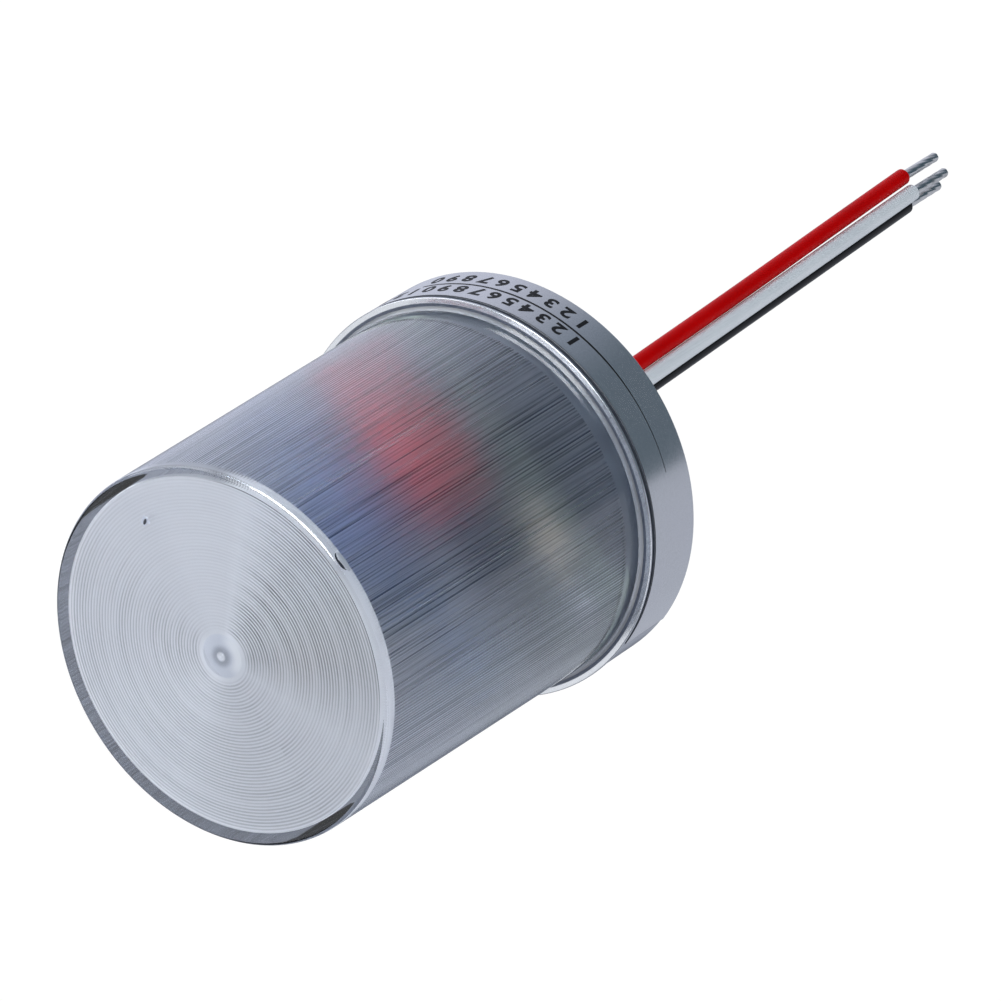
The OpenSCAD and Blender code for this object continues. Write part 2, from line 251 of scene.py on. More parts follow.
ROUTES = {
    "red": [(6.8, -2, 8.3), (6.6, -1.9, 7.2), (5.2, -1.4, 5.8), (3.2, -0.8, 4.8), (2.2, -0.5, 3.8), (2.2, -0.5, 0)]
    + list(zip((2.34, 2.53, 2.73, 2.93, 3.13, 3.33, 3.52, 3.72, 3.94, 4.17, 4.41, 4.64, 4.87, 5.09, 5.3), (-0.5,) * 15, range(-6, -91, -6))),
    "white": [(-0.2, -2.8, 8.3), (-0.2, -2.6, 7.2), (-0.1, -1.6, 5.8), (0, -0.8, 4.8), (0.1, -0.5, 3.8), (0.1, -0.5, 0)]
    + list(zip((0.27, 0.46, 0.66, 0.86, 1.06, 1.26, 1.45, 1.65, 1.85, 2.05, 2.25, 2.44, 2.64, 2.84, 3.04), (-0.5,) * 15, range(-6, -91, -6))),
    "black": [(-2.6, 4, 8.3), (-2.5, 3.8, 7.2), (-1.7, 2.7, 5.8), (-1, 1.8, 4.8), (-0.75, 1.45, 3.8), (-0.75, 1.45, 0)]
    + list(zip((-0.58, -0.39, -0.2, -0.01, 0.19, 0.38, 0.57, 0.77, 0.96, 1.15, 1.34, 1.54, 1.73, 1.92, 2.12), (1.45,) * 15, range(-6, -91, -6))),
}
LEAD_D = 2.05
TIP_D, TIP_LEN = 1.2, 8.0


def stranded_tip(name, end):
    """Seven tinned strands laid in a slow twist, wetted together with solder, with a rounded tip."""
    x0, y0, z0 = end
    n, rows = 72, 56
    verts, faces = [], []
    zs = list(np.linspace(0.6, -(TIP_LEN - 0.35), rows - 8)) + [-(TIP_LEN - 0.35) - 0.35 * math.sin(a) for a in np.linspace(0.2, math.pi / 2 - 0.06, 8)]
    for i, z in enumerate(zs):
        twist = z * 0.55
        into = max(0.0, (-z - (TIP_LEN - 0.35)) / 0.35)
        k = math.sqrt(max(0.0, 1 - into * into)) if into > 0 else 1.0
        fill = 0.55 + 0.25 * math.sin(z * 0.9 + 0.6)      # solder fills the grooves unevenly
        for j in range(n):
            a = 2 * math.pi * j / n
            lobe = abs(math.cos(3 * (a - twist)))          # six outer strands
            r = 0.6 * (1 - 0.13 * fill * (1 - lobe ** 0.7)) * (0.25 + 0.75 * k if into > 0 else 1.0)
            if into > 0:
                r = 0.6 * (1 - 0.13 * fill * (1 - lobe ** 0.7)) * k
            verts.append(((x0 + r * math.cos(a)) * MM, (y0 + r * math.sin(a)) * MM, (z0 + z) * MM))
    for i in range(rows - 1):
        for j in range(n):
            k = (j + 1) % n
            faces.append((i * n + j, (i + 1) * n + j, (i + 1) * n + k, i * n + k))
    faces.append(tuple(range(n)))
    faces.append(tuple(range(len(verts) - 1, len(verts) - n - 1, -1)))
    o = new_mesh(name, verts, faces, [tinned_mat])
    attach(o, "root")
    return o


for key, mat in (("red", red_mat), ("white", white_mat), ("black", black_mat)):
    route = ROUTES[key]
    cu = bpy.data.curves.new("wire_" + key, "CURVE")
    cu.dimensions = "3D"
    cu.bevel_depth = LEAD_D / 2 * MM
    cu.bevel_resolution = 10
    cu.use_fill_caps = True
    sp = cu.splines.new("POLY")
    sp.points.add(len(route) - 1)
    for q, (x, y, z) in zip(sp.points, route):
        q.co = (x * MM, y * MM, z * MM, 1.0)
    sp.use_smooth = True
    cu.materials.append(mat)
    wire = bpy.data.objects.new("wire_" + key, cu)
    scene.collection.objects.link(wire)
    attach(wire, "root")
    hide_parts("lead_" + key)
    tip = stranded_tip("tinned_tip_" + key, route[-1])
    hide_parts("tinned_end_" + key)


# ------------------------------------------------------------------ clear cap
CAP_Z0, BASE_H, CAP_TOP, RIM_R = 3.2, 9.3, 57.8, 0.5
R_FOOT, R_TIP, WALL, END_T = 22.6, 22.0, 1.3, 1.1
Z_IN = CAP_TOP - END_T
N_RIB = 368
N_IN, N_OUT, N_DISC = N_RIB * 6, N_RIB * 3 // 2, N_RIB // 2
RIB_FROM, RIB_FULL = 11.2, 12.2


def outer_r(z):
    return R_FOOT if z <= BASE_H else R_FOOT + (R_TIP - R_FOOT) * (z - BASE_H) / (CAP_TOP - RIM_R - BASE_H)


def inner_r(z):
    return R_FOOT - WALL + (R_TIP - R_FOOT) * (z - CAP_Z0) / (Z_IN - CAP_Z0)


def zip_rings(fine, coarse, k, flip):
    """Faces between a ring of fine vertices and one with a k-th as many."""
    out, nf, nc = [], len(fine), len(coarse)
    for i in range(nc):
        a, b = coarse[i], coarse[(i + 1) % nc]
        for j in range(k):
            f0, f1 = fine[(i * k + j) % nf], fine[(i * k + j + 1) % nf]
            out.append((f0, f1, a) if j < k // 2 else (f0, f1, b))
            if j == k // 2 - 1:
                out.append((f1, b, a))
    return [f[::-1] for f in out] if flip else out


# one height for each point round the ribbed bore, the same all the way up
t_in = np.arange(N_IN) * 2 * np.pi / N_IN
rib_phase = np.arange(N_IN) % 6
tooth = np.array([0.0, 0.25, 0.8, 1.0, 0.85, 0.3])[rib_phase]
per_rib = 0.55 + 0.45 * rng.random(N_RIB)
deep = rng.random(N_RIB) < 0.16
per_rib[deep] *= 1.7
slow = sum(a * np.sin(k * t_in + f) for k, a, f in ((47, 0.010, 0.3), (83, 0.009, 1.9), (131, 0.008, 4.1), (19, 0.010, 2.2)))
RIB_A = 0.042
rib = RIB_A * (tooth - 0.5) * per_rib[np.arange(N_IN) // 6] + slow * 0.35

verts, faces, index = [], [], []
CLEAR, RIBBED, END_IN, RIM, CORNER, SKIRT = 0, 1, 2, 3, 4, 5


def ring(pts):
    k = len(verts)
    verts.extend(pts)
    return list(range(k, k + len(pts)))


def quads(a, b, slot_i, flip=False):
    n = len(a)
    for i in range(n):
        j = (i + 1) % n
        f = (a[i], a[j], b[j], b[i])
        faces.append(f[::-1] if flip else f)
        index.append(slot_i)


# outer wall, rim and end, from the foot to the middle of the end
t_out = np.arange(N_OUT) * 2 * np.pi / N_OUT
prof = [(outer_r(z), z, CLEAR) for z in (CAP_Z0, 6.0, BASE_H, 9.9, 11.2, 14, 20, 28, 36, 44, 50, 54, 56.0, 57.0)]
prof += [(R_TIP - RIM_R + RIM_R * math.cos(a), CAP_TOP - RIM_R + RIM_R * math.sin(a), RIM) for a in np.linspace(0, math.pi / 2, 14)]
prof += [(r, CAP_TOP, CLEAR) for r in (21.2, 20, 18, 14, 9, 4, 1.2)]
prev = None
polished = [-84.4 < (math.degrees(t) + 180) % 360 - 180 < -43.5 for t in t_out]
for r, z, kind in prof:
    cur = ring([(r * math.cos(t) * MM, r * math.sin(t) * MM, z * MM) for t in t_out])
    if prev is not None:
        quads(prev, cur, CLEAR)
        if kind == RIM:
            for i in range(N_OUT):
                index[-N_OUT + i] = RIM if polished[i] else CLEAR
    else:
        foot_out = cur
    prev = cur
mid = ring([(0, 0, CAP_TOP * MM)])[0]
for i in range(N_OUT):
    faces.append((prev[i], prev[(i + 1) % N_OUT], mid))
    index.append(CLEAR)

# inner wall: a clear band at the foot, a small step where the ribs begin, and an elliptic fillet at the top
COR_Z, COR_H, COR_W = 55.7, 1.0, 0.07
prev = None
rows = [(z, 0.0) for z in (CAP_Z0, 9.0, 11.0)] + [(11.06, 0.10), (RIB_FROM, 0.11), (11.7, 0.06), (RIB_FULL, 0.0), (33.0, 0.0), (55.2, 0.0), (COR_Z, 0.0)]
rows += [(COR_Z + COR_H * math.sin(a), COR_W * (1 - math.cos(a))) for a in np.linspace(0.22, math.pi / 2 - 0.02, 7)]
for z, inset in rows:
    k = min(1.0, max(0.0, (z - RIB_FROM) / (RIB_FULL - RIB_FROM))) * min(1.0, max(0.0, (COR_Z + 0.25 - z) / 0.5))
    rr = inner_r(z) - inset + rib * k
    cur = ring([(a * math.cos(t) * MM, a * math.sin(t) * MM, z * MM) for a, t in zip(rr, t_in)])
    if prev is not None:
        quads(prev, cur, CORNER if z > COR_Z + 0.01 else (RIBBED if z > RIB_FROM + 0.01 else SKIRT), flip=True)
    else:
        foot_in = cur
    prev = cur
wall_top = prev
for f in zip_rings(foot_in, foot_out, N_IN // N_OUT, flip=False):
    faces.append(f)
    index.append(CLEAR)

# inner face of the end: fine turned grooves, a smooth dish in the middle and a small pip
PITCH, GROOVE = 0.38, 0.060
DISH_R, DISH_H = 2.65, 0.45
dish_R = (DISH_R ** 2 + DISH_H ** 2) / (2 * DISH_H)
r_edge = inner_r(Z_IN) - COR_W - 0.02
t_disc = np.arange(N_DISC) * 2 * np.pi / N_DISC
t_deg = np.degrees((t_disc + math.pi) % (2 * math.pi) - math.pi)
fan = np.interp(t_deg, [-52, -42, 0, 26], [0.0, 1.0, 1.0, 0.0])
radii = [r_edge]
r = r_edge - 0.08
while r > DISH_R + 0.12:
    radii.append(r)
    r -= PITCH / 4
prev = None
first = None
for i, r in enumerate(radii):
    ph = (r_edge - r) / PITCH
    saw = 0.5 - 0.5 * math.cos(2 * math.pi * ph)
    h = GROOVE * saw * (0.8 + 0.35 * math.sin(r * 5.1) * math.sin(r * 1.7))
    inside = min(1.0, (r - DISH_R) / 1.2)
    if i == 0:
        h = 0.0
    cur = ring([(r * math.cos(t) * MM, r * math.sin(t) * MM, (Z_IN + h * inside * (1 - 0.7 * f)) * MM) for t, f in zip(t_disc, fan)])
    if prev is not None:
        quads(prev, cur, END_IN, flip=True)
    else:
        first = cur
    prev = cur
for f in zip_rings(wall_top, first, N_IN // N_DISC, flip=False):
    faces.append(f[::-1])
    index.append(CORNER)
for r in (DISH_R, 2.45, 2.2, 1.9, 1.6, 1.3, 1.0, 0.8, 0.62):
    z = Z_IN + DISH_H - (dish_R - math.sqrt(dish_R ** 2 - r ** 2))
    cur = ring([(r * math.cos(t) * MM, r * math.sin(t) * MM, z * MM) for t in t_disc])
    quads(prev, cur, END_IN, flip=True)
    prev = cur
for r, dz in ((0.5, -0.02), (0.44, -0.08), (0.42, -0.14), (0.34, -0.18), (0.15, -0.17)):
    cur = ring([(r * math.cos(t) * MM, r * math.sin(t) * MM, (Z_IN + DISH_H + dz) * MM) for t in t_disc])
    quads(prev, cur, END_IN, flip=True)
    prev = cur
mid = ring([(0, 0, (Z_IN + DISH_H - 0.16) * MM)])[0]
for i in range(N_DISC):
    faces.append((prev[(i + 1) % N_DISC], prev[i], mid))
    index.append(END_IN)


def cap_clear(name="cap_clear", coat=0.0):
    """Clear moulded plastic with a polished outside, faint flow marks and handling smudges."""
    m = Mat(name)
    p, x, y, z = m.point()
    r, a = m.polar(x, y)
    smudge = m.noise(p, 110.0, 5.0, 0.55)
    flow = m.noise(m.vec(m.math("MULTIPLY", a, 26.0), m.math("MULTIPLY", z, 60.0), 0.0), 1.0, 3.0)
    rough = m.math("ADD", m.span(smudge, 0.3, 0.75, 0.022, 0.040), m.span(flow, 0.4, 0.7, 0.0, 0.006))
    s = m.principled(Base_Color=(0.915, 0.945, 1.0), Transmission_Weight=1.0, IOR=1.49, Roughness=rough,
                     Coat_Weight=coat, Coat_IOR=2.1, Coat_Roughness=0.10, Normal=m.bump(flow, 0.00002, 0.3))
    return m.lamp_through(s, (0.88, 0.90, 0.94))


def cap_ribbed():
    """The ribbed bore: flanks that blur what is behind, with painted shade as a dark line along each rib, of uneven
    strength, and broader dark streaks along the axis.
    """
    m = Mat("cap_ribbed")
    p, x, y, z = m.point()
    r, a = m.polar(x, y)
    drift = m.noise(m.vec(m.math("MULTIPLY", a, 9.0), m.math("MULTIPLY", z, 40.0), 0.0), 1.0, 2.0)
    # painted shade: a dark line along each rib for its shaded flank, of uneven strength, with broader dark streaks
    # added; it darkens both the clear and the hazy colour
    fine = m.math("MULTIPLY_ADD", m.math("COSINE", m.math("MULTIPLY", a, float(N_RIB))), -0.5, 0.5)
    each = m.noise(m.vec(m.math("MULTIPLY", a, N_RIB / 6.2832 * 0.9), m.math("MULTIPLY", z, 38.0), 0.0), 1.0, 1.0)
    wide = m.noise(m.vec(m.math("MULTIPLY", a, 120.0), m.math("MULTIPLY", z, 30.0), 5.0), 1.0, 2.0)
    depth = m.span(each, 0.3, 0.75, 0.15, 1.0)
    line_shade = m.math("MULTIPLY", fine, depth)
    dark_streak = m.span(wide, 0.51, 0.63)
    dark = m.math("ADD", m.math("MULTIPLY", line_shade, 0.90), m.math("MULTIPLY", dark_streak, 0.55), clamp=True)
    rough = m.span(each, 0.3, 0.7, 0.285, 0.33)
    tone = m.mix(dark, (0.96, 0.97, 0.99), (0.05, 0.06, 0.09))
    s = m.principled(Base_Color=tone, Transmission_Weight=1.0, IOR=1.49, Roughness=rough, Specular_Tint=(0.32, 0.33, 0.36),
                     Normal=m.bump(each, 0.00002, 0.5))
    veil = m.mix(dark, (0.72, 0.77, 0.88), (0.05, 0.06, 0.08))
    milk = m.node("BsdfTranslucent")
    m.put(milk.inputs[0], veil)
    body = m.node("BsdfDiffuse")
    m.put(body.inputs[0], veil)
    half = m.node("MixShader")
    m.put(half.inputs[0], 0.75)
    m.put(half.inputs[1], milk.outputs[0])
    m.put(half.inputs[2], body.outputs[0])
    mixer = m.node("MixShader")
    m.put(mixer.inputs[0], m.math("ADD", m.span(drift, 0.3, 0.7, 0.095, 0.135), m.span(a, math.radians(-100), math.radians(-40), 0.0, 0.075)))
    m.put(mixer.inputs[1], s)
    m.put(mixer.inputs[2], half.outputs[0])
    return m.lamp_through(mixer.outputs[0], (0.58, 0.60, 0.65))


def cap_end():
    """The inner face of the end: turned grooves, smooth in one sector, that scatter light to a silvery white, with
    painted shade along the grooves, a painted sheen that changes with direction and a painted highlight in the dish.
    """
    m = Mat("cap_end")
    p, x, y, z = m.point()
    r, a = m.polar(x, y)
    ph = m.math("MULTIPLY", m.math("SUBTRACT", r_edge * MM, r), 2 * math.pi / (PITCH * MM))
    groove = m.math("MULTIPLY_ADD", m.math("COSINE", ph), 0.5, 0.5)
    uneven = m.noise(m.vec(m.math("MULTIPLY", r, 900.0), m.math("MULTIPLY", a, 0.7), 0.0), 1.0, 2.0)
    cloud = m.noise(p, 130.0, 3.0)
    turn = m.math("ADD", m.math("DIVIDE", a, 2 * math.pi), 0.5)
    # how strong the painted groove shade is, by direction: strong where the light falls across the grooves, weak in one
    # sector
    depth = m.ramp(turn, [(0.0, 0.52), (30 / 360, 0.25), (60 / 360, 0.80), (90 / 360, 0.95), (105 / 360, 1.0), (118 / 360, 0.65), (130 / 360, 0.16),
                          (165 / 360, 0.07), (185 / 360, 0.14), (215 / 360, 0.50), (240 / 360, 0.60), (300 / 360, 0.42), (1.0, 0.50)])
    # painted sheen: the turned surface is painted brighter in the directions where its grooves catch the light, darker
    # in others
    painted_sheen = m.ramp(turn, [(0.0, 0.82), (60 / 360, 0.80), (80 / 360, 0.87), (92 / 360, 0.94), (110 / 360, 1.0), (120 / 360, 0.98), (136 / 360, 0.84),
                         (180 / 360, 0.80), (210 / 360, 0.88), (245 / 360, 0.97), (275 / 360, 1.0), (300 / 360, 0.96), (330 / 360, 0.84), (1.0, 0.82)])
    body_r = m.span(r, (DISH_R + 0.1) * MM, (DISH_R + 0.9) * MM)
    # painted shade along the turned grooves, for their shaded flanks
    line_shade = m.math("MULTIPLY", m.math("MULTIPLY", m.math("MULTIPLY", groove, depth), m.span(uneven, 0.3, 0.7, 0.6, 1.0)), body_r)
    # painted shade: a thin dark line at the outer edge of the grooves, in one range of directions
    edge_shade = m.math("MULTIPLY", m.span(r, (r_edge - 0.17) * MM, (r_edge - 0.10) * MM), m.span(m.math("COSINE", m.math("ADD", a, math.radians(85))), 0.55, 0.85, 0.1, 0.8))
    line_shade = m.math("MAXIMUM", line_shade, edge_shade)
    tone = m.mix(line_shade, (0.98, 0.985, 1.0), (0.03, 0.035, 0.06))
    dish = m.math("MULTIPLY", m.span(r, 0.0008, 0.0010), m.span(r, 0.0024, 0.0027, 1.0, 0.0))
    # painted highlight: a bright crescent on one side of the dish
    lobe = m.math("MULTIPLY", m.span(r, 0.0011, 0.0021), m.span(m.math("COSINE", m.math("ADD", a, math.radians(112))), 0.1, 0.95))
    ringed = m.math("MULTIPLY", m.span(r, 0.00040, 0.00065), m.span(r, 0.00070, 0.00155, 1.0, 0.0))
    tone = m.mix(dish, tone, m.mix(lobe, (0.72, 0.74, 0.79), (1.0, 1.0, 1.0)))
    tone = m.mix(ringed, tone, (0.36, 0.39, 0.46))
    s = m.principled(Base_Color=tone, Transmission_Weight=1.0, IOR=1.49, Roughness=m.span(cloud, 0.3, 0.7, 0.29, 0.35), Specular_Tint=(0.5, 0.5, 0.54),
                     Normal=m.bump(uneven, 0.00001, 0.4))
    veil = m.mix(1.0, m.mix(line_shade, (0.985, 0.985, 1.0), (0.010, 0.012, 0.025)), painted_sheen, "MULTIPLY")
    veil = m.mix(m.span(cloud, 0.3, 0.7, 0.0, 0.08), veil, (0.60, 0.61, 0.65))
    veil = m.mix(dish, veil, m.mix(lobe, (0.70, 0.72, 0.77), (1.0, 1.0, 1.0)))
    veil = m.mix(m.math("MULTIPLY", ringed, 0.85), veil, (0.30, 0.32, 0.37))
    milk = m.node("BsdfTranslucent")
    m.put(milk.inputs[0], veil)
    body = m.node("BsdfDiffuse")
    m.put(body.inputs[0], veil)
    half = m.node("MixShader")
    m.put(half.inputs[0], 0.7)
    m.put(half.inputs[1], milk.outputs[0])
    m.put(half.inputs[2], body.outputs[0])
    mixer = m.node("MixShader")
    m.put(mixer.inputs[0], 0.82)
    m.put(mixer.inputs[1], s)
    m.put(mixer.inputs[2], half.outputs[0])
    return m.lamp_through(mixer.outputs[0], (0.7, 0.71, 0.74))


def cap_skirt():
    """The unribbed foot of the bore: a light haze and a few flow lines round it."""
    m = Mat("cap_skirt")
    p, x, y, z = m.point()
    r, a = m.polar(x, y)
    flow = m.noise(m.vec(m.math("MULTIPLY", a, 6.0), m.math("MULTIPLY", z, 900.0), 0.0), 1.0, 3.0)
    cloud = m.noise(p, 240.0, 3.0)
    s = m.principled(Base_Color=(0.93, 0.95, 0.985), Transmission_Weight=1.0, IOR=1.49, Roughness=m.span(cloud, 0.3, 0.7, 0.29, 0.33),
                     Specular_Tint=(0.32, 0.33, 0.36),
                     Normal=m.bump(flow, 0.00001, 0.4))
    body = m.node("BsdfDiffuse")
    m.put(body.inputs[0], m.mix(m.span(flow, 0.3, 0.7), (0.56, 0.63, 0.73), (0.46, 0.52, 0.61)))
    mixer = m.node("MixShader")
    m.put(mixer.inputs[0], m.span(cloud, 0.3, 0.7, 0.15, 0.21))
    m.put(mixer.inputs[1], s)
    m.put(mixer.inputs[2], body.outputs[0])
    return m.lamp_through(mixer.outputs[0], (0.8, 0.82, 0.86))


def cap_corner():
    """The fillet between the bore and the end: pale and frosted, with painted shade as short dark ticks at the ends of
    the ribs, strongest in one sector, and painted shade over another sector.
    """
    m = Mat("cap_corner")
    p, x, y, z = m.point()
    r, a = m.polar(x, y)
    cloud = m.noise(p, 260.0, 3.0)
    each = m.noise(m.vec(m.math("MULTIPLY", a, N_RIB / 6.2832 * 0.9), 0.0, 0.0), 1.0, 1.0)
    comb = m.math("MULTIPLY_ADD", m.math("COSINE", m.math("MULTIPLY", a, float(N_RIB))), -0.5, 0.5)
    # painted shade: dark ticks at the ends of the ribs, strongest in one sector
    near = m.math("MULTIPLY", m.span(a, math.radians(-52), math.radians(-46)), m.span(a, math.radians(-40), math.radians(-34), 1.0, 0.0))
    strength = m.math("ADD", m.math("MULTIPLY", near, 0.85), 0.10)
    tick_shade = m.math("MULTIPLY", m.math("MULTIPLY", comb, m.span(each, 0.35, 0.65, 0.4, 1.0)), m.math("MULTIPLY", strength, m.span(z, 0.0559, 0.0565, 1.0, 0.0)))
    tone = m.mix(tick_shade, (0.97, 0.975, 0.99), (0.10, 0.11, 0.15))
    s = m.principled(Base_Color=tone, Transmission_Weight=1.0, IOR=1.49, Roughness=m.span(cloud, 0.3, 0.7, 0.30, 0.36),
                     Normal=m.bump(cloud, 0.00001, 0.4))
    veil = m.mix(tick_shade, (0.99, 0.99, 1.0), (0.08, 0.09, 0.12))
    # painted shade: the fillet's hazy colour is darker over one sector of directions
    thin = m.math("MULTIPLY", m.span(a, math.radians(-48), math.radians(-38)), m.span(a, math.radians(-16), math.radians(-4), 1.0, 0.0))
    veil = m.mix(m.math("MULTIPLY", thin, 0.62), veil, (0.16, 0.17, 0.20))
    milk = m.node("BsdfTranslucent")
    m.put(milk.inputs[0], veil)
    body = m.node("BsdfDiffuse")
    m.put(body.inputs[0], veil)
    half = m.node("MixShader")
    m.put(half.inputs[0], 0.7)
    m.put(half.inputs[1], milk.outputs[0])
    m.put(half.inputs[2], body.outputs[0])
    mixer = m.node("MixShader")
    m.put(mixer.inputs[0], 0.86)
    m.put(mixer.inputs[1], s)
    m.put(mixer.inputs[2], half.outputs[0])
    return m.lamp_through(mixer.outputs[0], (0.7, 0.71, 0.74))


clear_mat = cap_clear()
cap = new_mesh("cap_shell", verts, faces, [clear_mat, cap_ribbed(), cap_end(), cap_clear("cap_rim", 1.0), cap_corner(), cap_skirt()], index)
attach(cap, "root")
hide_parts("clear_cap")


# small marks of the moulding, with painted shadows and painted highlights beside them, each a closed solid of its own
def flecks(name, items, mat):
    """Small ellipsoids in one piece. items are (centre, three half-axis vectors) in mm."""
    vs, fs = [], []
    n, rows = 16, 9
    for c, ax in items:
        c, ax = np.array(c), np.array(ax)
        if np.linalg.det(ax) < 0:                        # keeps the faces turned outward
            ax = ax * np.array([[-1.0], [1.0], [1.0]])
        k = len(vs)
        vs.append(tuple((c + ax[2]) * MM))
        for i in range(1, rows):
            th = math.pi * i / rows
            for j in range(n):
                ph = 2 * math.pi * j / n
                q = c + ax[0] * math.sin(th) * math.cos(ph) + ax[1] * math.sin(th) * math.sin(ph) + ax[2] * math.cos(th)
                vs.append(tuple(q * MM))
        vs.append(tuple((c - ax[2]) * MM))
        last = len(vs) - 1
        for j in range(n):
            j2 = (j + 1) % n
            fs.append((k, k + 1 + j, k + 1 + j2))
            fs.append((last, last - n + j2, last - n + j))
            for i in range(rows - 2):
                a0 = k + 1 + i * n
                fs.append((a0 + j, a0 + n + j, a0 + n + j2, a0 + j2))
    o = new_mesh(name, vs, fs, [mat])
    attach(o, "root")
    return o


def frame_at(az_deg, elev_deg):
    """(outward, along the circle, up the meridian) at an angle round the axis and a tilt of the surface."""
    a, e = math.radians(az_deg), math.radians(elev_deg)
    radial = np.array([math.cos(a), math.sin(a), 0.0])
    out = radial * math.cos(e) + np.array([0, 0, math.sin(e)])
    along = np.array([-math.sin(a), math.cos(a), 0.0])
    return out, along, np.cross(out, along)


# pale frosted plastic, also used for painted highlights
frost_and_highlight = moulded("gate_frost", (0.74, 0.76, 0.83), 0.42, 3000.0, 0.000008, 0.05, 0.0, 0.5)
shade = moulded("gate_shade", (0.022, 0.026, 0.040), 0.5, 3000.0, 0.000006, 0.2, 0.0, 0.3)
rim_c = lambda az: np.array([(R_TIP - RIM_R) * math.cos(math.radians(az)), (R_TIP - RIM_R) * math.sin(math.radians(az)), CAP_TOP - RIM_R])
g_out, g_along, g_up = frame_at(4.3 - 90, 0)
s_out, s_along, s_up = frame_at(4.5 - 90, 10)
ez = np.array([0.0, 0.0, 1.0])
flecks("gate_mark", [(g_out * (outer_r(56.85) - 0.05) + ez * 56.85, (g_along * 1.20, g_up * 0.50, g_out * 0.17))], frost_and_highlight)
# painted shadow: dark solids for the shadow round the gate mark and under the step beside it
flecks("gate_edge", [(g_out * (outer_r(56.85) - 0.20) + ez * 57.02 + g_along * 0.10, (g_along * 1.10, g_up * 0.46, g_out * 0.12))], shade)
flecks("gate_step", [(rim_c(4.5 - 90) + s_out * (RIM_R - 0.005), (s_along * 0.80 + s_up * 0.10, s_up * 0.09, s_out * 0.06))], shade)
d1, d2 = np.array([-0.50, 0.87, 0.0]), np.array([0.87, 0.50, 0.0])
# painted shade and painted highlight: a dark fleck for a small pit in the end face, and pale flecks for the highlight
# on its rim
flecks("end_speck", [((16.6, -1.4, CAP_TOP - 0.085), (d1 * 0.40, d2 * 0.17, ez * 0.06))], shade)
flecks("end_speck_edge", [((16.95, -1.3, CAP_TOP - 0.15), (d1 * 0.62, d2 * 0.12, ez * 0.04)), ((16.30, -1.85, CAP_TOP - 0.15), (d1 * 0.22, d2 * 0.16, ez * 0.04)),
                           ((16.62, -1.4, CAP_TOP - 0.24), (d1 * 0.62, d2 * 0.34, ez * 0.03))], frost_and_highlight)
bub = []
for i in range(14):
    az = -90 + (rng.random() * 130 - 70)
    zz = 9.75 + 1.15 * rng.random()
    rr = outer_r(zz) - 0.25 - 0.5 * rng.random()
    q = 0.03 + 0.03 * rng.random()
    o_, a_, u_ = frame_at(az, 0)
    bub.append((o_ * rr + ez * zz, (a_ * q, u_ * q, o_ * q)))
flecks("skirt_bubbles", bub, frost_and_highlight)

# ------------------------------------------------------------------ label print
ink = Mat("label_ink")
p, x, y, z = ink.point()
n1 = ink.noise(p, 2600.0, 3.0)
ink_mat = ink.surface(ink.principled(Base_Color=ink.mix(ink.span(n1, 0.3, 0.7), (0.004, 0.0045, 0.0055), (0.010, 0.011, 0.013)),
                                     Roughness=ink.span(n1, 0.3, 0.7, 0.44, 0.56), Specular_IOR_Level=0.25, Normal=ink.bump(n1, 0.000004)))
R_LABEL = 24.0
INK_OUT = 0.012


def wrap(points, lift):
    """Bends flat (arc, z) points in mm onto the label. Arc runs the way the angle grows."""
    out = []
    for s, z in points:
        a = s / R_LABEL
        out.append(((R_LABEL + lift) * math.cos(a) * MM, (R_LABEL + lift) * math.sin(a) * MM, z * MM))
    return out


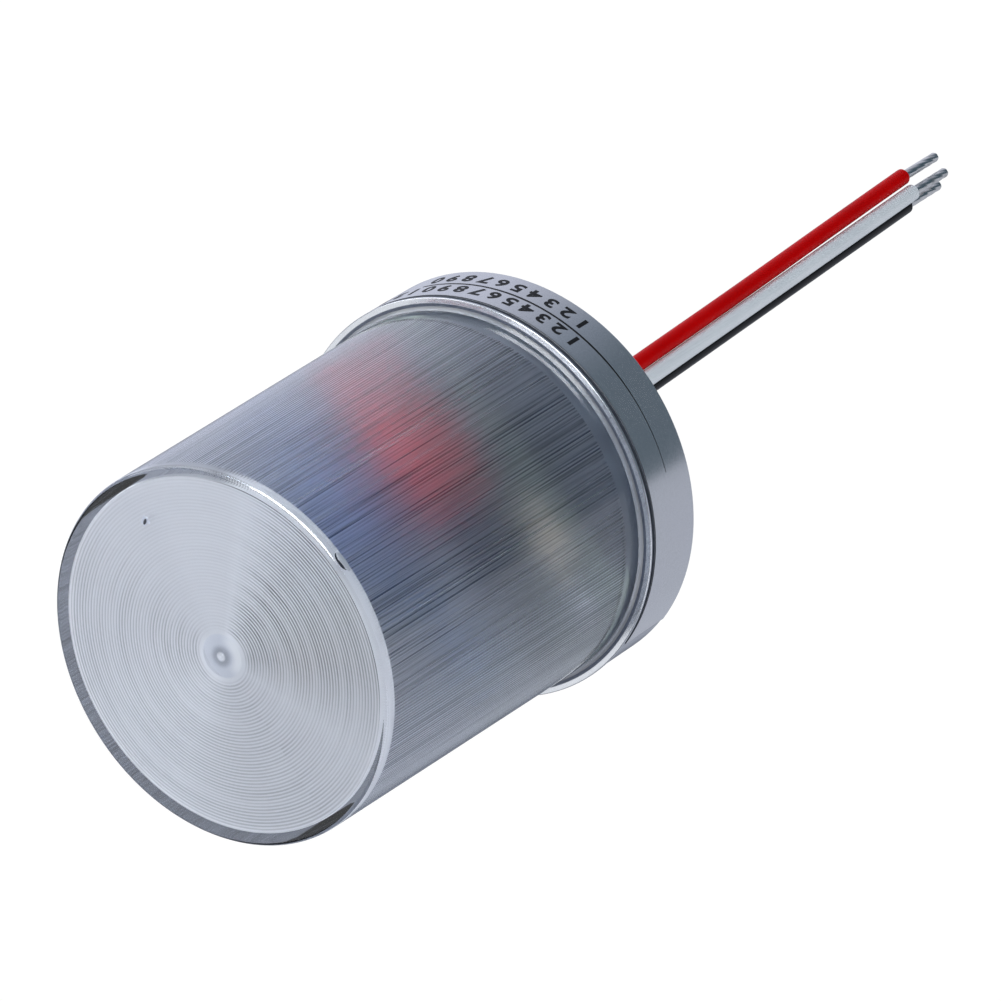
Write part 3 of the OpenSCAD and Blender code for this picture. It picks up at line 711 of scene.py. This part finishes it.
def print_number(name, text, start_deg, z0, height, pitch_deg, bold):
    """Plain digits, one solid of thin ink each, joined in one row along the label."""
    vs, fs = [], []
    for i, ch in enumerate(text):
        if ch == " ":
            continue
        cu = bpy.data.curves.new("digit", "FONT")
        cu.body = ch
        cu.offset = bold
        cu.resolution_u = 6
        ob = bpy.data.objects.new("digit", cu)
        scene.collection.objects.link(ob)
        bpy.context.view_layer.update()
        dg = bpy.context.evaluated_depsgraph_get()
        me = bpy.data.meshes.new_from_object(ob.evaluated_get(dg))
        bm = bmesh.new()
        bm.from_mesh(me)
        wide_x = max(v.co.x for v in bm.verts)
        for cut in np.arange(0.03, wide_x, 0.08):        # short steps, so that the ink follows the round label
            geom = bm.verts[:] + bm.edges[:] + bm.faces[:]
            bmesh.ops.bisect_plane(bm, geom=geom, plane_co=(float(cut), 0, 0), plane_no=(1, 0, 0))
        bmesh.ops.remove_doubles(bm, verts=bm.verts[:], dist=0.0015)
        bmesh.ops.triangulate(bm, faces=bm.faces[:])
        bmesh.ops.dissolve_degenerate(bm, edges=bm.edges[:], dist=0.0006)
        bmesh.ops.triangulate(bm, faces=bm.faces[:])
        bm.to_mesh(me)
        bm.free()
        me.calc_loop_triangles()
        co = np.array([v.co[:2] for v in me.vertices])
        tris, used = [], set()                          # folded or doubled slivers are dropped
        for t in me.loop_triangles:
            q = tuple(t.vertices)
            rim = ((q[0], q[1]), (q[1], q[2]), (q[2], q[0]))
            turn = (co[q[1]][0] - co[q[0]][0]) * (co[q[2]][1] - co[q[0]][1]) - (co[q[2]][0] - co[q[0]][0]) * (co[q[1]][1] - co[q[0]][1])
            if turn > 1e-7 and not any(e in used for e in rim):
                used.update(rim)
                tris.append(q)
        bpy.data.objects.remove(ob)
        bpy.data.curves.remove(cu)
        bpy.data.meshes.remove(me)
        lo, hi = co.min(0), co.max(0)
        k = height / (hi[1] - lo[1])
        wide = 1.12
        flat = [((c[0] - (lo[0] + hi[0]) / 2) * k * wide, (c[1] - lo[1]) * k) for c in co]
        centre = math.radians(start_deg + pitch_deg * (i + 0.5)) * R_LABEL
        pts = [(centre + sx, z0 + sy) for sx, sy in flat]
        base_i = len(vs)
        nv = len(pts)
        vs += wrap(pts, INK_OUT) + wrap(pts, 0.002)
        fs += [tuple(base_i + q for q in t) for t in tris]
        fs += [tuple(base_i + nv + q for q in reversed(t)) for t in tris]
        edges = {}
        for t in tris:
            for u, w in ((t[0], t[1]), (t[1], t[2]), (t[2], t[0])):
                edges[(u, w)] = edges.get((u, w), 0) + 1
        for (u, w) in edges:
            if (w, u) not in edges:
                fs.append((base_i + w, base_i + u, base_i + nv + u, base_i + nv + w))
    o = new_mesh(name, vs, fs, [ink_mat], smooth=False)
    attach(o, "root")
    return o


print_number("print_row_front", "1234567890123", 18.9 - 90, 5.1, 2.0, 5.3, 0.032)
print_number("print_row_rear", "1234567890", 21.7 - 90, 1.7, 2.0, 5.3, 0.032)

stops = [(-22, 0.05), (-12, 0.09), (0, 0.13), (9, 0.22), (15, 0.28), (47, 0.30), (60, 0.28), (74, 0.26)]
degs = np.arange(-22, 74.01, 1.0)
wid = np.interp(degs, [s[0] for s in stops], [s[1] for s in stops])
vs, fs = [], []
for d, w in zip(degs, wid):
    s = math.radians(d - 90) * R_LABEL
    vs += wrap([(s, 4.56 - w / 2), (s, 4.56 + w / 2)], 0.002) + wrap([(s, 4.56 + w / 2), (s, 4.56 - w / 2)], INK_OUT)
for i in range(len(degs) - 1):
    for j in range(4):
        k = (j + 1) % 4
        fs.append((i * 4 + j, (i + 1) * 4 + j, (i + 1) * 4 + k, i * 4 + k))
fs.append((3, 2, 1, 0)[::-1])
e = (len(degs) - 1) * 4
fs.append((e + 3, e + 2, e + 1, e))
rule = new_mesh("print_rule", vs, [f[::-1] for f in fs], [ink_mat], smooth=False)
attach(rule, "root")


# ------------------------------------------------------------------ label and base
def label_film():
    """Satin silver film: a fine sparkle, faint lines from its roll, and slow changes of tone."""
    m = Mat("label_film")
    p, x, y, z = m.point()
    r, a = m.polar(x, y)
    sparkle = m.noise(p, 4200.0, 2.0, 0.6)
    cloud = m.noise(p, 150.0, 4.0)
    roll = m.noise(m.vec(m.math("MULTIPLY", a, 9.0), m.math("MULTIPLY", z, 4200.0), 0.0), 1.0, 2.0)
    tone = m.mix(m.span(sparkle, 0.3, 0.7), (0.66, 0.67, 0.69), (0.71, 0.72, 0.74))
    tone = m.mix(m.span(cloud, 0.3, 0.7, 0.0, 0.4), tone, (0.70, 0.70, 0.74))
    rough = m.math("ADD", m.span(cloud, 0.3, 0.7, 0.20, 0.25), m.span(sparkle, 0.3, 0.7, -0.02, 0.02))
    h = m.math("ADD", m.math("MULTIPLY", sparkle, 0.5), m.math("MULTIPLY", roll, 0.5))
    return m.surface(m.principled(Base_Color=tone, Metallic=0.85, Roughness=rough, Normal=m.bump(h, 0.000003)))


def base_plastic():
    """Moulded base: silver-lacquered outside with a fine orange-peel; painted shade inside the cavity, painted shadow
    in the groove and a thin painted shadow line along the label's end.
    """
    m = Mat("base_plastic")
    p, x, y, z = m.point()
    r, a = m.polar(x, y)
    cloud = m.noise(p, 120.0, 4.0)
    grain = m.noise(p, 2600.0, 3.0, 0.6)
    peel = m.noise(p, 420.0, 2.0)
    # painted shade: the cavity inside the base is dark, rough and not metallic
    inside = m.math("MULTIPLY", m.span(r, 0.02330, 0.02342, 1.0, 0.0), m.span(z, 0.0012, 0.0016))
    # painted shadow in the groove behind the lip
    groove_shade = m.math("MULTIPLY", m.span(z, 0.00826, 0.00832), m.span(z, 0.00900, 0.00912, 1.0, 0.0))
    groove_shade = m.math("MULTIPLY", groove_shade, m.span(r, 0.0230, 0.0232))
    silver = m.mix(m.span(cloud, 0.3, 0.7), (0.64, 0.66, 0.70), (0.71, 0.73, 0.77))
    barrel = m.math("MULTIPLY", m.span(z, 0.0082, 0.0083, 1.0, 0.0), m.span(r, 0.0230, 0.0232))
    silver = m.mix(barrel, silver, (0.50, 0.52, 0.57))
    # painted shadow: a thin dark line along the label's end, fading towards the lip
    label_edge_shadow = m.math("MULTIPLY", m.span(a, math.radians(-165.2), math.radians(-164.6)), m.span(a, math.radians(-162.9), math.radians(-162.7), 1.0, 0.0))
    label_edge_shadow = m.math("MULTIPLY", label_edge_shadow, m.math("MULTIPLY", barrel, m.span(z, 0.0030, 0.0082, 1.0, 0.35)))
    painted_shade_tone = m.mix(m.span(grain, 0.3, 0.7), (0.058, 0.070, 0.100), (0.082, 0.096, 0.132))
    # lacquer is 1 where the silver shows and falls to 0 under the painted shade and shadow
    lacquer = m.math("MULTIPLY", m.math("SUBTRACT", 1.0, inside), m.math("MULTIPLY_ADD", m.math("MAXIMUM", groove_shade, label_edge_shadow), -0.92, 1.0))
    tone = m.mix(lacquer, painted_shade_tone, silver)
    rough = m.math("ADD", m.span(cloud, 0.3, 0.7, 0.15, 0.20), m.span(grain, 0.3, 0.7, -0.02, 0.02))
    rough = m.math("MULTIPLY_ADD", m.math("SUBTRACT", 1.0, lacquer), 0.28, rough)
    h = m.math("ADD", m.math("MULTIPLY", grain, 0.2), peel)
    return m.surface(m.principled(Base_Color=tone, Metallic=m.math("MULTIPLY", lacquer, 0.88), Roughness=rough,
                                  Normal=m.bump(h, 0.000004)))


def set_mat(node, mat):
    o = nodes[node]
    o.data.materials.clear()
    o.data.materials.append(mat)


set_mat("label_band", label_film())
set_mat("base_housing", base_plastic())


def sealant():
    m = Mat("sealant")
    p, x, y, z = m.point()
    lump = m.noise(p, 260.0, 3.0)
    s = m.principled(Base_Color=(0.88, 0.90, 0.95), Transmission_Weight=0.7, IOR=1.45,
                     Roughness=m.span(lump, 0.3, 0.7, 0.08, 0.2), Normal=m.bump(lump, 0.00006, 0.6))
    return m.lamp_through(s, (0.8, 0.8, 0.84))


set_mat("seal_bead", sealant())

# ------------------------------------------------------------------ inside parts
A8 = math.radians(8)


def turned(m):
    """The point turned back by the circuit's 8 degrees, so that patterns follow the parts' own sides."""
    p, x, y, z = m.point()
    c, s = math.cos(A8), math.sin(A8)
    u = m.math("ADD", m.math("MULTIPLY", x, c), m.math("MULTIPLY", y, s))
    v = m.math("SUBTRACT", m.math("MULTIPLY", y, c), m.math("MULTIPLY", x, s))
    return p, u, v, z


def board():
    """Paper laminate board: pale, with a faint weave, a scatter of flecks and a paler cut edge."""
    m = Mat("board")
    p, u, v, z = turned(m)
    weave = m.math("MULTIPLY", m.wave(m.vec(u, v, 0.0), 900.0, 1.0, "X"), m.wave(m.vec(u, v, 0.0), 900.0, 1.0, "Y"))
    fleck = m.noise(p, 900.0, 4.0, 0.6)
    tone = m.mix(m.span(fleck, 0.35, 0.7), (0.130, 0.180, 0.122), (0.096, 0.138, 0.092))
    tone = m.mix(m.math("MULTIPLY", weave, 0.25), tone, (0.19, 0.23, 0.17))
    sawn = m.span(z, 0.01085, 0.01096, 1.0, 0.0)          # the cut edge is paler than the face
    tone = m.mix(m.math("MULTIPLY", sawn, 0.8), tone, (0.46, 0.52, 0.40))
    return m.surface(m.principled(Base_Color=tone, Roughness=m.span(fleck, 0.3, 0.7, 0.38, 0.52), Coat_Weight=0.2,
                                  Coat_Roughness=0.25, Normal=m.bump(weave, 0.00001)))


def dipped(name, colour, dark):
    """Dipped lacquer: glossy and slightly wavy, darker in patches."""
    m = Mat(name)
    p, x, y, z = m.point()
    wavy = m.noise(p, 260.0, 2.0)
    fine = m.noise(p, 2400.0, 3.0)
    tone = m.mix(m.span(wavy, 0.3, 0.7), colour, dark)
    return m.surface(m.principled(Base_Color=tone, Roughness=m.span(fine, 0.3, 0.7, 0.14, 0.24), Coat_Weight=0.5,
                                  Coat_Roughness=0.08, Normal=m.bump(m.math("ADD", wavy, m.math("MULTIPLY", fine, 0.06)), 0.00012, 0.5)))


def sleeve():
    """Shrunk film with one pale stripe down one side."""
    m = Mat("dark_sleeve")
    p, u, v, z = turned(m)
    du = m.math("SUBTRACT", u, -0.0049)
    dv = m.math("SUBTRACT", v, -0.0012)
    ang = m.math("ARCTAN2", dv, du)
    stripe = m.math("MULTIPLY", m.span(ang, 2.35, 2.4), m.span(ang, 2.95, 3.0, 1.0, 0.0))
    wavy = m.noise(p, 500.0, 3.0)
    tone = m.mix(stripe, m.mix(m.span(wavy, 0.3, 0.7), (0.020, 0.024, 0.06), (0.035, 0.04, 0.09)), (0.62, 0.64, 0.66))
    return m.surface(m.principled(Base_Color=tone, Roughness=m.span(wavy, 0.3, 0.7, 0.2, 0.32), Normal=m.bump(wavy, 0.00003, 0.5)))


def banded(name, body, bands, axis_u, along, rough=0.3):
    """A lacquered body with bands of colour round it. bands are (from, to, colour) along the body in mm from its middle."""
    m = Mat(name)
    p, u, v, z = turned(m)
    fine = m.noise(p, 1500.0, 3.0)
    tone = m.mix(m.span(fine, 0.3, 0.7), body, tuple(c * 0.86 for c in body))
    for mid_u in axis_u:
        d = m.math("SUBTRACT", u, mid_u * MM)
        near = m.math("LESS_THAN", m.math("ABSOLUTE", d), along * MM)
        for a, b, col in bands:
            f = m.math("MULTIPLY", m.span(d, (a - 0.04) * MM, (a + 0.04) * MM), m.span(d, (b - 0.04) * MM, (b + 0.04) * MM, 1.0, 0.0))
            tone = m.mix(m.math("MULTIPLY", f, near), tone, col)
    return m.surface(m.principled(Base_Color=tone, Roughness=m.span(fine, 0.3, 0.7, rough - 0.05, rough + 0.06),
                                  Normal=m.bump(fine, 0.00001)))


def cell():
    """Glazed ceramic disc with a wavy dark track across a tan window on its top."""
    m = Mat("cell_ceramic")
    p, u, v, z = turned(m)
    du = m.math("SUBTRACT", u, -0.0045)
    dv = m.math("SUBTRACT", v, 0.0118)
    r = m.math("SQRT", m.math("ADD", m.math("MULTIPLY", du, du), m.math("MULTIPLY", dv, dv)))
    fine = m.noise(p, 1300.0, 3.0)
    tri = m.math("PINGPONG", du, 0.00055)
    track = m.math("LESS_THAN", m.math("ABSOLUTE", m.math("SUBTRACT", tri, m.math("ADD", 0.00028, m.math("MULTIPLY", dv, 0.02)))), 0.00009)
    window = m.math("MULTIPLY", m.math("LESS_THAN", r, 0.0026), m.math("GREATER_THAN", z, 0.0315))
    tone = m.mix(m.span(fine, 0.3, 0.7), (0.80, 0.72, 0.54), (0.72, 0.63, 0.45))
    tone = m.mix(window, tone, (0.52, 0.24, 0.08))
    tone = m.mix(m.math("MULTIPLY", window, track), tone, (0.20, 0.05, 0.02))
    return m.surface(m.principled(Base_Color=tone, Roughness=m.span(fine, 0.3, 0.7, 0.2, 0.32), Coat_Weight=0.4,
                                  Coat_Roughness=0.1, Normal=m.bump(fine, 0.00001)))


set_mat("circuit_board", board())
set_mat("film_capacitor", dipped("red_coat", (0.92, 0.007, 0.010), (0.78, 0.005, 0.007)))
set_mat("varistor", dipped("blue_coat", (0.06, 0.20, 0.52), (0.04, 0.14, 0.40)))
set_mat("relay", moulded("relay_case", (0.11, 0.18, 0.39), 0.3, 1800.0, 0.00001, 0.12, 0.2))
set_mat("electrolytic_sleeve", sleeve())
set_mat("electrolytic_can", metal("can_aluminium", (0.42, 0.43, 0.46), 0.42))
set_mat("photocell", cell())
set_mat("diodes", banded("black_body", (0.03, 0.03, 0.032), [(1.5, 2.1, (0.55, 0.56, 0.57))], (2.9, 12.6, -13.5), 2.7, 0.4))
set_mat("transistor", moulded("transistor_body", (0.03, 0.03, 0.032), 0.45, 2600.0, 0.000015, 0.15))
set_mat("resistors", banded("resistor_body", (0.74, 0.62, 0.42),
                            [(-2.5, -2.0, (0.45, 0.18, 0.03)), (-1.2, -0.8, (0.02, 0.02, 0.02)), (0.0, 0.4, (0.50, 0.02, 0.02)), (1.9, 2.4, (0.55, 0.40, 0.10))],
                            (-8.5, -9.5), 0.0, 0.28))
set_mat("lead_grommet", moulded("rubber", (0.030, 0.030, 0.032), 0.62, 1800.0, 0.00002, 0.2, 0.0, 0.3))
set_mat("lead_potting", moulded("potting", (0.035, 0.035, 0.040), 0.3, 500.0, 0.00004, 0.2, 0.3))
set_mat("board_screws", metal("screw_steel", (0.70, 0.70, 0.71), 0.26))
solder = metal("solder", (0.76, 0.76, 0.77), 0.2)
set_mat("solder_joints", solder)
for n in ("relay_pins", "film_capacitor_leads", "electrolytic_leads", "varistor_leads", "photocell_leads", "diode_leads",
          "resistor_leads", "transistor_leads"):
    set_mat(n, tinned_mat)

# ------------------------------------------------------------------ floor and light
FLOOR_Z = -0.16
me = bpy.data.meshes.new("floor")
S = 6.0
me.from_pydata([(-S, -S, FLOOR_Z), (S, -S, FLOOR_Z), (S, S, FLOOR_Z), (-S, S, FLOOR_Z)], [], [(0, 1, 2, 3)])
floor = bpy.data.objects.new("floor", me)
scene.collection.objects.link(floor)
fm = Mat("floor_paint")
# The camera sees a white floor. Everything else sees the floor glow in sectors of grey, dark and bright round the
# object: painted light that lights the object and shows in its reflections.
p, x, y, z = fm.point()
r, a = fm.polar(x, y)
sector = fm.math("ADD", fm.math("DIVIDE", a, 2 * math.pi), 0.5)


def at(deg):
    return deg / 360.0 + 0.5


MID_C, DARK_C, BRIGHT_C, BACK_C = (0.50, 0.53, 0.61), (0.058, 0.095, 0.129), (0.66, 0.69, 0.82), (0.16, 0.18, 0.22)
glow_sectors = fm.ramp(sector, [(0.0, MID_C), (at(-131.2), MID_C), (at(-129.6), DARK_C), (at(-72), DARK_C), (at(-45), (0.21, 0.25, 0.32)),
                         (at(-25), (0.42, 0.45, 0.54)), (at(5), BRIGHT_C), (at(62), BRIGHT_C), (at(78), BACK_C), (at(112), BACK_C),
                         (at(130), MID_C), (1.0, MID_C)])
fleck = fm.noise(p, 60.0, 3.0)
glow_sectors = fm.mix(fm.span(fleck, 0.3, 0.7, 0.0, 0.06), glow_sectors, (0.3, 0.3, 0.3))
lit = fm.node("Emission")
fm.put(lit.inputs[0], glow_sectors)
fm.put(lit.inputs[1], 1.0)
white = fm.node("Emission")
fm.put(white.inputs[0], (1.0, 1.0, 1.0))
fm.put(white.inputs[1], 1.02)
seen = fm.node("LightPath")
both = fm.node("MixShader")
fm.put(both.inputs[0], seen.outputs["Is Camera Ray"])
fm.put(both.inputs[1], lit.outputs[0])
fm.put(both.inputs[2], white.outputs[0])
me.materials.append(fm.surface(both.outputs[0]))


def area(name, at_point, to, size_x, size_y, power, colour=(1, 1, 1), along=None):
    """A soft panel of light. along gives the direction of its long side."""
    d = bpy.data.lights.new(name, "AREA")
    d.shape = "RECTANGLE"
    d.size, d.size_y = size_x, size_y
    d.energy = power
    d.color = colour
    o = bpy.data.objects.new(name, d)
    scene.collection.objects.link(o)
    zed = (Vector(at_point) - Vector(to)).normalized()
    ex = Vector(along or (0, 0, 1)).cross(zed).cross(zed) * -1 if along else Vector((0, 0, 1)).cross(zed)
    ex = (ex - zed * ex.dot(zed)).normalized()
    ey = zed.cross(ex)
    mw = Matrix.Identity(4)
    for c, v in enumerate((ex, ey, zed)):
        for k in range(3):
            mw[k][c] = v[k]
    mw.translation = Vector(at_point)
    o.matrix_world = mw
    o.visible_camera = False
    return o


area("key_strip", (0.48, -0.46, 0.60), (0, 0, 0.05), 1.25, 0.09, 2.5, (0.84, 0.95, 1.0), along=(0.74, 0.54, -0.185))
card = area("reflector", (0.428, -0.432, 0.613), (0, 0, 0.05), 0.66, 0.62, 8.9, along=(-0.23, 0.49, 0.67))
card.visible_diffuse = False
card.visible_transmission = False
area("side_panel", (0.85, 0.25, 0.40), (0, 0, 0.03), 0.7, 0.6, 3.4)
top = area("top_panel", (0.05, 0.66, 0.92), (0, 0, 0.05), 0.8, 0.8, 5.2)
top.visible_transmission = False
top.visible_glossy = False
mirrored = area("top_card", (0.05, 0.661, 0.921), (0, 0, 0.05), 0.8, 0.8, 1.70)
mirrored.visible_diffuse = False
mirrored.visible_transmission = False
area("left_panel", (-0.80, -0.20, 0.35), (0, 0, 0.03), 0.6, 0.5, 1.7, (0.96, 0.97, 1.0))
low = area("lead_lamp", (0.0, -0.11, -0.06), (0.002, 0, -0.055), 0.05, 0.08, 0.031)
low.visible_glossy = False
low.visible_transmission = False

world = bpy.data.worlds.new("studio")
scene.world = world
world.use_nodes = True
wt = world.node_tree
wt.nodes.clear()
wo = wt.nodes.new("ShaderNodeOutputWorld")
bg = wt.nodes.new("ShaderNodeBackground")
bg.inputs[0].default_value = (0.86, 0.92, 1.0, 1.0)
bg.inputs[1].default_value = 0.22
# the camera sees plain white past the floor, and everything else the studio
far = wt.nodes.new("ShaderNodeBackground")
far.inputs[0].default_value = (1.0, 1.0, 1.0, 1.0)
far.inputs[1].default_value = 1.02
path = wt.nodes.new("ShaderNodeLightPath")
pick = wt.nodes.new("ShaderNodeMixShader")
wt.links.new(path.outputs["Is Camera Ray"], pick.inputs[0])
wt.links.new(bg.outputs[0], pick.inputs[1])
wt.links.new(far.outputs[0], pick.inputs[2])
wt.links.new(pick.outputs[0], wo.inputs[0])

scene.view_settings.view_transform = "Standard"
scene.view_settings.look = "None"
scene.view_settings.exposure = 0.0
scene.view_settings.gamma = 1.0
